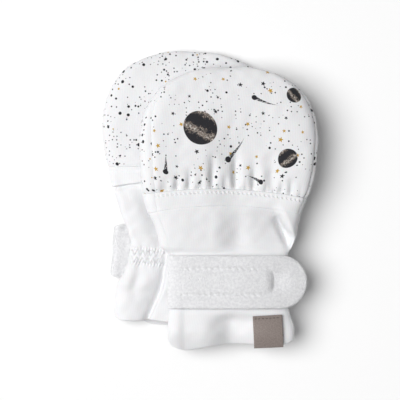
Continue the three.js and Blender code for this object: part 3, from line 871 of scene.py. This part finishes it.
def wall_piece(name, form, skin, columns, rows, curls, relief, material, tuck=None, size=(70, 60)):
    """A wall of cloth on a skin. curls is how far its outer face rolls in at its left, right, lower and upper
    edge, None for one that isn't sewn. relief raises its outer face, and tuck moves the wall in."""
    across = spaced(columns, size[0])
    along = spaced(rows, size[1])
    a, l = np.meshgrid(across, along)
    at_face, x, height = skin(a, l, 0 * a)
    left, right = lengths(at_face, 1)
    low, high = lengths(at_face, 0)
    # Sewn pieces press into each other a little, so that no slit shows between them.
    sides = -SEAM_LAP / np.maximum(left[:, -1:], 4)
    ends = -SEAM_LAP / np.maximum(low[-1:, :], 4)
    a = lerp(sides, 1 - sides, a)
    l = lerp(ends, 1 - ends, np.maximum(l, 0))
    at_face, x, height = skin(a, l, 0 * a)
    depth = 0 * a
    for edge, roll in zip((left, right, low, high), curls):
        depth = depth + (roll or 0) * bell(edge, 1.2) + rounded(edge, round_of(roll))
    inward = 0 if tuck is None else tuck(x, height)
    raised = relief(x, height, (left, right, low, high)) if relief else 0
    outer = skin(a, l, np.minimum(depth, CLOTH * 0.8) - raised + inward)[0]
    back = sum(rounded(edge, round_of(roll)) for edge, roll in zip((left, right, low, high), curls))
    inner = skin(a, l, CLOTH - np.minimum(back, CLOTH * 0.15) + inward)[0]
    # The flat cloth: across it by length from the middle line, along it by length up the middle line.
    middle = abs(x[len(x) // 2]).argmin()
    v = form.height_of(at_face)
    flat_x = left - left[:, [middle]]
    flat_y = np.interp(v, v[:, middle], v[0, middle] + low[:, middle]) + np.minimum(0, v - v[0, middle])
    flat = np.stack([flat_x, flat_y, 0 * height], -1)
    return solid_sheet(name, across, along, (outer, inner), flat, material)


# Fine relief, seeded and the same each run


def waves(seed, count, wave):
    """Soft random undulation of about 1 in both directions, with waves of about the given length."""
    random = np.random.default_rng(seed)
    turns = random.uniform(0, 2 * math.pi, count)
    sizes = random.uniform(0.7, 1.5, count) / wave
    starts = random.uniform(0, 2 * math.pi, count)

    def at(x, v):
        total = 0
        for turn, size, start in zip(turns, sizes, starts):
            total = total + np.sin(2 * math.pi * size * (x * math.cos(turn) + v * math.sin(turn)) + start)
        return total / math.sqrt(count)

    return at


def short_gathers(seed, low, high, spacing, depth, reach):
    """Short puckers that a seam draws in, uneven in place, depth and length."""
    random = np.random.default_rng(seed)
    places = []
    x = low
    while x < high:
        places.append((x, *random.uniform(0.5, 1.0, 3)))
        x += spacing * random.uniform(0.6, 1.4)

    def at(x, above):
        total = 0
        for middle, deep, wide, long in places:
            fall = np.exp(-np.maximum(above, 0) / (reach * long))
            total = total - depth * deep * bell(x - middle, spacing * 0.3 * wide) * fall
        return total

    return at


wide_waves = waves(3, 7, 26.0)
small_waves = waves(8, 9, 7.0)
over_puckers = short_gathers(21, -36, 36, 4.4, 0.7, 4.2)
fine_puckers = short_gathers(24, -36, 36, 2.1, 0.25, 1.6)
under_puckers = short_gathers(22, -36, 36, 2.6, 0.22, 1.6)


def soft(x, v, wide, small):
    return wide * wide_waves(x, v) + small * small_waves(x, v)


def over_back_relief(x, v, edges):
    left, right, low, high = edges
    fade = step(np.minimum(left, right), 0, 5)
    puckers = over_puckers(x, low) + fine_puckers(x, low)
    return soft(x, v, 0.3, 0.08) * fade * step(low, 0, 8) + puckers * fade


def over_palm_relief(x, v, edges):
    left, right, low, high = edges
    # The right seam's allowance stands out beside the seam.
    rim = 0.45 * bell(left - 1.1, 0.8) * step(v, 60, 75)
    return 0.12 * small_waves(x, v) + under_puckers(v, np.minimum(left, right)) * 0.8 + rim


def under_palm_relief(x, v, edges):
    return soft(x, v, 0.3, 0.08)


def needle_marks(x, off, pitch, slant, long, wide):
    """Slanted dents of a row of stitches, at a pitch along it."""
    near = x - pitch * np.round(x / pitch)
    run = near * math.cos(slant) + off * math.sin(slant)
    return bell(run, long) * bell(off * math.cos(slant) - near * math.sin(slant), wide)


def under_cuff_relief(x, v, edges):
    off = v - (ELASTIC_LOW + ELASTIC_HIGH) / 2
    inside = 1 - step(abs(off), 2.6, 3.6)
    zigzag = np.sin(x * 2 * math.pi / 1.7 + 2.2 * np.sin(off * 2 * math.pi / 3.1))
    marks = sum(needle_marks(x, off - row, 1.45, 70 * DEGREE, 0.8, 0.38) for row in (-3.4, 3.4))
    return soft(x, v, 0.2, 0.12) + 0.11 * zigzag * inside - 0.85 * marks


def over_cuff_relief(x, v, edges):
    return soft(x, v, 0.16, 0.07) * (1 - bell(v - 33, 15))


STITCH_DROP = 1.8
STITCH_PITCH = 2.1
STITCH_SLANT = -25 * DEGREE


def band_relief(x, v, edges):
    left, right, low, high = edges
    marks = needle_marks(x, STITCH_DROP - high, STITCH_PITCH, STITCH_SLANT, 0.62, 0.36)
    return 0.05 * small_waves(x, v) - 0.62 * marks + 0.12 * bell(low - 0.5, 0.8)


# The pieces


def panel_heights(form, band_top):
    return lambda x, along: lerp(edge_height(band_top, x), form.end, np.clip(along, 0, 1) ** 0.9)


def band_heights(band_low, band_top):
    return lambda x, along: lerp(edge_height(band_low, x), edge_height(band_top, x), along)


def cuff_heights(hem, band_low):
    return lambda x, along: lerp(hem(x), edge_height(band_low, x) + BAND_LAP, along)


def tuck_into(band_low, before, past):
    return lambda x, height: (CLOTH + LAP_GAP) * step(height - edge_height(band_low, x), -before, past)


def hem_curve(rows):
    return curve(table(("x", "v"), rows), "x", "v")


over_hem = hem_curve(OVER_HEM)


def make_cloth():
    sky = night_sky_jersey()
    specks = speckled_jersey()
    plain = plain_jersey()
    made = {}

    def panel(name, form, side, sunk, band_top, columns, rows, relief, material):
        skin = side_skin(form, side, sunk, panel_heights(form, band_top))
        curls = (0.35, 0.45, 0.55, 0.3)
        piece = wall_piece(f"{name}_cloth", form, skin, columns, rows, curls, relief, material)
        made[name] = (piece, "printed_jersey", (0.098, 0.072), 0.0052)

    def band(name, form, side, sunk, band_low, band_top, columns, rows):
        skin = side_skin(form, side, sunk, band_heights(band_low, band_top))
        curls = (0.15, 0.2, 0, 0.15)
        size = (70, 9)
        piece = wall_piece(f"{name}_cloth", form, skin, columns, rows, curls, band_relief, plain, size=size)
        made[name] = (piece, "plain_jersey", (0.078, 0.0105), 0.00062)

    def cuff(name, form, side, sunk, hem, band_low, columns, rows, relief):
        skin = side_skin(form, side, sunk, cuff_heights(hem, band_low))
        curls = (0.02, 0.06, None, 0)
        tuck = tuck_into(band_low, *((0.7, 3.8) if form is over else (3.6, 0.6)))
        piece = wall_piece(f"{name}_cloth", form, skin, columns, rows, curls, relief, plain, tuck)
        made[name] = (piece, "plain_jersey", (0.066, 0.074), None)

    sunk = UNDER_SEAM_SUNK
    panel("over_back_panel", over, "top", 0, OVER_BAND_TOP, 220, 100, over_back_relief, sky)
    panel("over_palm_panel", over, "under", 0, OVER_BAND_TOP, 110, 64, over_palm_relief, specks)
    panel("under_palm_panel", under, "top", sunk, UNDER_BAND_TOP, 160, 90, under_palm_relief, specks)
    panel("under_back_panel", under, "under", sunk, UNDER_BAND_TOP, 80, 60, None, sky)
    band("over_back_band", over, "top", 0, OVER_BAND_LOW, OVER_BAND_TOP, 340, 32)
    band("over_palm_band", over, "under", 0, OVER_BAND_LOW, OVER_BAND_TOP, 90, 16)
    band("under_palm_band", under, "top", sunk, UNDER_BAND_LOW, UNDER_BAND_TOP, 130, 18)
    band("under_back_band", under, "under", sunk, UNDER_BAND_LOW, UNDER_BAND_TOP, 60, 16)
    cuff("over_back_cuff", over, "top", 0, over_hem, OVER_BAND_LOW, 190, 110, over_cuff_relief)
    cuff("over_palm_cuff", over, "under", 0, lambda x: over_hem(x) + 0.6, OVER_BAND_LOW, 90, 70, None)
    palm_hem, back_hem = hem_curve(UNDER_PALM_HEM), hem_curve(UNDER_BACK_HEM)
    cuff("under_palm_cuff", under, "top", sunk, palm_hem, UNDER_BAND_LOW, 280, 120, under_cuff_relief)
    cuff("under_back_cuff", under, "under", sunk, back_hem, UNDER_BAND_LOW, 80, 80, None)
    for name, (piece, slot, flat, area) in made.items():
        dressed(piece, name)


# Straps

ROUND = STRAP_WIDTH / 2
OVER_STRAP_START = -30.2
OVER_STRAP_END = 36.9
OVER_STRAP_LEAVE = 0.8
UNDER_STRAP_FOLD = -34.4
UNDER_FOLD_RADIUS = 1.45
UNDER_STRAP_RUN = 6.0
UNDER_STRAP_END = 33.0
UNDER_STRAP_SEWN = 1.2
LOOP_SPACING = 0.64
LOOP_HEIGHT = 0.34
TERRY_BASE = STRAP_THICKNESS - LOOP_HEIGHT


def over_strap_skin(s, v, out):
    """A point of the over strap at a length along it, a height on the cuff, and so far out of the cuff."""
    return strap_bed.upper_side(OVER_STRAP_START + s, v, -STRAP_GAP - out, OVER_STRAP_LEAVE)


def under_strap_skin(s, v, out):
    """The under strap leaves the side seam, folds round and runs back below the wrist."""
    middle = STRAP_THICKNESS / 2
    out = out - middle
    corner = rounded(np.minimum(v - STRAP_LOW, STRAP_LOW + STRAP_WIDTH - v), 1.8)
    turn_x = UNDER_STRAP_FOLD + middle + UNDER_FOLD_RADIUS + corner + 0.2 * np.sin(v * 0.45)
    start = -under_side(v) + UNDER_STRAP_SEWN
    upper = lerp(start, turn_x, np.clip(s / UNDER_STRAP_RUN, 0, 1))
    angle = np.clip((s - UNDER_STRAP_RUN) / UNDER_FOLD_RADIUS, 0, math.pi)
    past = np.maximum(0, s - UNDER_STRAP_RUN - math.pi * UNDER_FOLD_RADIUS)
    radius = UNDER_FOLD_RADIUS + out
    x = upper - np.sin(angle) * radius + past
    z = middle + UNDER_FOLD_RADIUS + np.cos(angle) * radius
    return under.world(x, v, z)


def strap_trough(s, v, stitched):
    """How deep the hook patch's stitching pulls the pile in: two rows, a round end and a dimple inside it."""
    if not stitched:
        return 0 * s
    x = s + OVER_STRAP_START
    row = v - (STRAP_LOW + ROUND) - 0.3
    rows = bell(abs(row) - 6.2, 0.7) * step(x, -26, -22) * (1 - step(x, 17, 20))
    pull = 1 + 0.5 * np.sin(x * 2 * math.pi / 2.9 + 2 * np.sin(row))
    # The dimple falls off ever steeper to the right, up to a short curved line, and fills up slowly past it.
    past = x - 20.8 + 0.035 * row * row
    fall = np.where(past < 0, np.clip(1 + past / 5, 0, 1) ** 2.4, 1 - step(past, 0, 11))
    dimple = 1.9 * fall * np.exp(-((row / 5.2) ** 4))
    return 0.6 * pull * rows + dimple


def from_middle(s, v, straight):
    """Distance from a strap's middle line, or past its straight part from the middle of its round end."""
    across = v - STRAP_LOW - ROUND
    return np.where(s > straight, np.hypot(s - straight, across), abs(across))


def make_strap(name, skin, length, stitched, material, columns, rows):
    """The woven ground of a strap, a closed sheet with a round end."""
    across = spaced(columns, length)
    along = spaced(rows, STRAP_WIDTH)
    a, l = np.meshgrid(across, along)
    straight = length - ROUND
    run = a * (straight + ROUND * math.pi / 2)
    turn = np.clip((run - straight) / ROUND, 0, CAP_END)
    s = np.where(turn > 0, straight + ROUND * np.sin(turn), run)
    v = STRAP_LOW + ROUND + (2 * l - 1) * ROUND * np.cos(turn)
    roll = rounded(np.maximum(0, ROUND - from_middle(s, v, straight)), 1.1) + rounded(s, 0.8)
    outer = skin(s, v, TERRY_BASE - np.minimum(roll, 0.9) - strap_trough(s, v, stitched))
    inner = skin(s, v, np.minimum(roll, 0.9))
    flat = np.stack([s, v, 0 * s], -1)
    return solid_sheet(f"{name}_ground", across, along, (outer, inner), flat, material)


def one_loop():
    """One loop of the pile as a thin ring, to be half sunk in the ground."""
    bpy.ops.object.select_all(action="DESELECT")
    bpy.ops.mesh.primitive_torus_add(
        major_segments=6,
        minor_segments=3,
        major_radius=0.22,
        minor_radius=0.17,
        rotation=(math.pi / 2, 0, 0),
    )
    bpy.ops.object.transform_apply(location=False, rotation=True, scale=False)
    loop = bpy.context.object
    points = np.array([v.co for v in loop.data.vertices])
    faces = np.array([list(p.vertices) for p in loop.data.polygons])
    bpy.data.objects.remove(loop)
    return points, faces


def joined_mesh(name, points, faces, material):
    mesh = bpy.data.meshes.new(name)
    mesh.from_pydata((points * MM).tolist(), [], faces)
    mesh.update()
    mesh.shade_smooth()
    mesh.materials.append(material)
    piece = bpy.data.objects.new(name, mesh)
    bpy.context.collection.objects.link(piece)
    return piece


def make_loops(name, skin, length, stitched, material, seed):
    """The pile: loops in uneven rows all over the strap's outer face."""
    random = np.random.default_rng(seed)
    s, v = np.meshgrid(
        np.arange(0.6, length, LOOP_SPACING),
        np.arange(STRAP_LOW + 0.45, STRAP_LOW + STRAP_WIDTH, LOOP_SPACING * 0.9),
    )
    s = s + random.normal(0, 0.14, s.shape) + 0.5 * LOOP_SPACING * (np.arange(len(s))[:, None] % 2)
    v = v + random.normal(0, 0.09, v.shape)
    s, v = s.ravel(), v.ravel()
    straight = length - ROUND
    reach = from_middle(s, v, straight)
    keep = (reach < ROUND - 0.25) & (s > 0.5) & (s < length - 0.3)
    s, v, reach = s[keep], v[keep], reach[keep]
    edge_roll = np.minimum(rounded(np.maximum(0, ROUND - reach), 1.1), 0.9)
    out = TERRY_BASE - edge_roll - strap_trough(s, v, stitched)
    base = skin(s, v, out)
    small = 0.05
    up = skin(s, v, out + small) - base
    along = skin(s + small, v, out) - base
    up /= np.linalg.norm(up, axis=1, keepdims=True)
    along -= up * (along * up).sum(1, keepdims=True)
    along /= np.linalg.norm(along, axis=1, keepdims=True)
    side = np.cross(up, along)
    points, faces = one_loop()
    turn = random.uniform(0, math.pi, len(s))
    size = random.uniform(0.88, 1.08, len(s))
    lean = random.normal(0, 0.13, (len(s), 2))
    first = along * np.cos(turn)[:, None] + side * np.sin(turn)[:, None]
    second = np.cross(up, first)
    tall = up + first * lean[:, :1] + second * lean[:, 1:]
    frames = np.stack([first, second, tall], 1) * size[:, None, None]
    placed = np.einsum("pk,nkj->npj", points, frames) + base[:, None, :]
    all_faces = faces[None] + (np.arange(len(s)) * len(points))[:, None, None]
    return joined_mesh(name, placed.reshape(-1, 3), all_faces.reshape(-1, 4).tolist(), material)


def make_straps():
    terry = looped_terry()
    over_length = OVER_STRAP_END - OVER_STRAP_START
    turn_x = UNDER_STRAP_FOLD + STRAP_THICKNESS / 2 + UNDER_FOLD_RADIUS
    under_length = UNDER_STRAP_RUN + math.pi * UNDER_FOLD_RADIUS + UNDER_STRAP_END - turn_x
    for name, skin, length, stitched, seed, rests in (
        ("over_strap", over_strap_skin, over_length, True, 5, ["over_back_cuff"]),
        ("under_strap", under_strap_skin, under_length, False, 6, []),
    ):
        ground = make_strap(name, skin, length, stitched, terry, 140, 60)
        loops = make_loops(f"{name}_loops", skin, length, stitched, terry, seed)
        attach(loops, "root")
        dressed(ground, name)


# Stitches and label


def tube(points, radius, sides=5):
    """Vertices and faces of a closed tube along points."""
    run = np.gradient(points, axis=0)
    run /= np.linalg.norm(run, axis=1, keepdims=True)
    up = np.array([0.0, 0.0, 1.0]) - run * run[:, 2:]
    up /= np.linalg.norm(up, axis=1, keepdims=True)
    side = np.cross(run, up)
    angles = np.arange(sides) * 2 * math.pi / sides
    ring = np.cos(angles)[None, :, None] * side[:, None] + np.sin(angles)[None, :, None] * up[:, None]
    width = np.full(len(points), radius)
    width[[0, -1]] = radius * 0.3
    vertices = points[:, None] + ring * width[:, None, None]
    count = len(points)
    faces = []
    for i in range(count - 1):
        for k in range(sides):
            j = (k + 1) % sides
            faces.append((i * sides + k, i * sides + j, (i + 1) * sides + j, (i + 1) * sides + k))
    faces += [tuple(range(sides))[::-1], tuple((count - 1) * sides + k for k in range(sides))]
    return vertices.reshape(-1, 3), faces


def stitched_line(name, lines, radius, material):
    """One mesh of thread from several lines of points."""
    points, faces = [], []
    start = 0
    for line in lines:
        vertices, own = tube(np.asarray(line), radius)
        points.append(vertices)
        faces += [tuple(start + i for i in face) for face in own]
        start += len(vertices)
    piece = joined_mesh(name, np.concatenate(points), faces, material)
    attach(piece, "root")
    return piece


def slanted_row(form, edge, drop, low_x, high_x):
    """Short slanted stitches along an edge, each sunk in its dent."""
    lines = []
    for x in np.arange(math.ceil(low_x / STITCH_PITCH), high_x / STITCH_PITCH) * STITCH_PITCH:
        run = np.linspace(-0.55, 0.55, 5)
        at = x + run * math.cos(STITCH_SLANT)
        lines.append(form.upper_side(at, edge(at) - drop + run * math.sin(STITCH_SLANT), 0.28))
    return lines


def zigzag(form, edge, drop, low_x, high_x, half, period, lift, thread=0.1):
    """A zigzag thread that rides on the upper side along an edge, dipping in where it passes through."""
    x = np.arange(low_x, high_x, period / 12)
    phase = x / period
    swing = 2 * abs(2 * (phase - np.floor(phase + 0.5))) - 1
    v = edge(x) - drop + half * swing
    dip = 0.22 * abs(swing) ** 6
    return form.upper_side(x, v, -lift - thread + dip)


def make_stitches():
    thread = sewing_thread()

    def band_top(x):
        return edge_height(OVER_BAND_TOP, x)

    def elastic_middle(x):
        return (ELASTIC_LOW + ELASTIC_HIGH) / 2 + 0 * x

    cover = slanted_row(over, band_top, STITCH_DROP, -33.5, 35.5)
    stitched_line("over_band_stitches", cover, 0.13, thread)
    rows = [zigzag(under, elastic_middle, drop, -25.2, 25.2, 1.5, 2.6, 0.16) for drop in (-1.75, 1.75)]
    stitched_line("under_elastic_stitches", rows, 0.11, thread)


LABEL_X = 18.1
LABEL_V = 9.3
LABEL_TURN = 3 * DEGREE


def label_skin(across, along, out):
    """A point of the label at millimetres from its middle, a little turned on the cuff."""
    x = LABEL_X + across * math.cos(LABEL_TURN) - along * math.sin(LABEL_TURN)
    v = LABEL_V + across * math.sin(LABEL_TURN) + along * math.cos(LABEL_TURN)
    return over.upper_side(x, v, -LAP_GAP - out)


def make_label():
    ribbon = woven_ribbon()
    width, length, thickness = LABEL_SIZE
    across, along = spaced(40, width), spaced(40, length)
    a, l = np.meshgrid(across, along)
    x = (a - 0.5) * width
    y = (l - 0.5) * length
    edges = rounded(np.minimum(a, 1 - a) * width, 0.25) + rounded((1 - l) * length, 0.25)
    lower = rounded(l * length, 0.5)
    belly = 0.25 * np.sin(math.pi * a) * np.sin(math.pi * l)
    outer = label_skin(x, y, thickness - np.minimum(edges + lower, 0.5) + belly)
    inner = label_skin(x, y, np.minimum(edges + lower, 0.45))
    flat = np.stack([x, y, 0 * x], -1)
    piece = solid_sheet("over_label_ribbon", across, along, (outer, inner), flat, ribbon)
    stitches = []
    for start in np.arange(-width / 2 + 0.7, width / 2 - 1.2, 1.75):
        sx = np.linspace(start, start + 1.25, 6)
        bow = np.sin(np.linspace(0, math.pi, 6))
        stitches.append(label_skin(sx, length / 2 - 1.3 + 0 * sx, thickness - 0.05 + 0.22 * bow))
    thread = stitched_line("over_label_stitches", stitches, 0.17, dark_thread())
    dressed(piece, "over_label")


make_camera()
make_stage()
make_cloth()
make_straps()
make_stitches()
make_label()
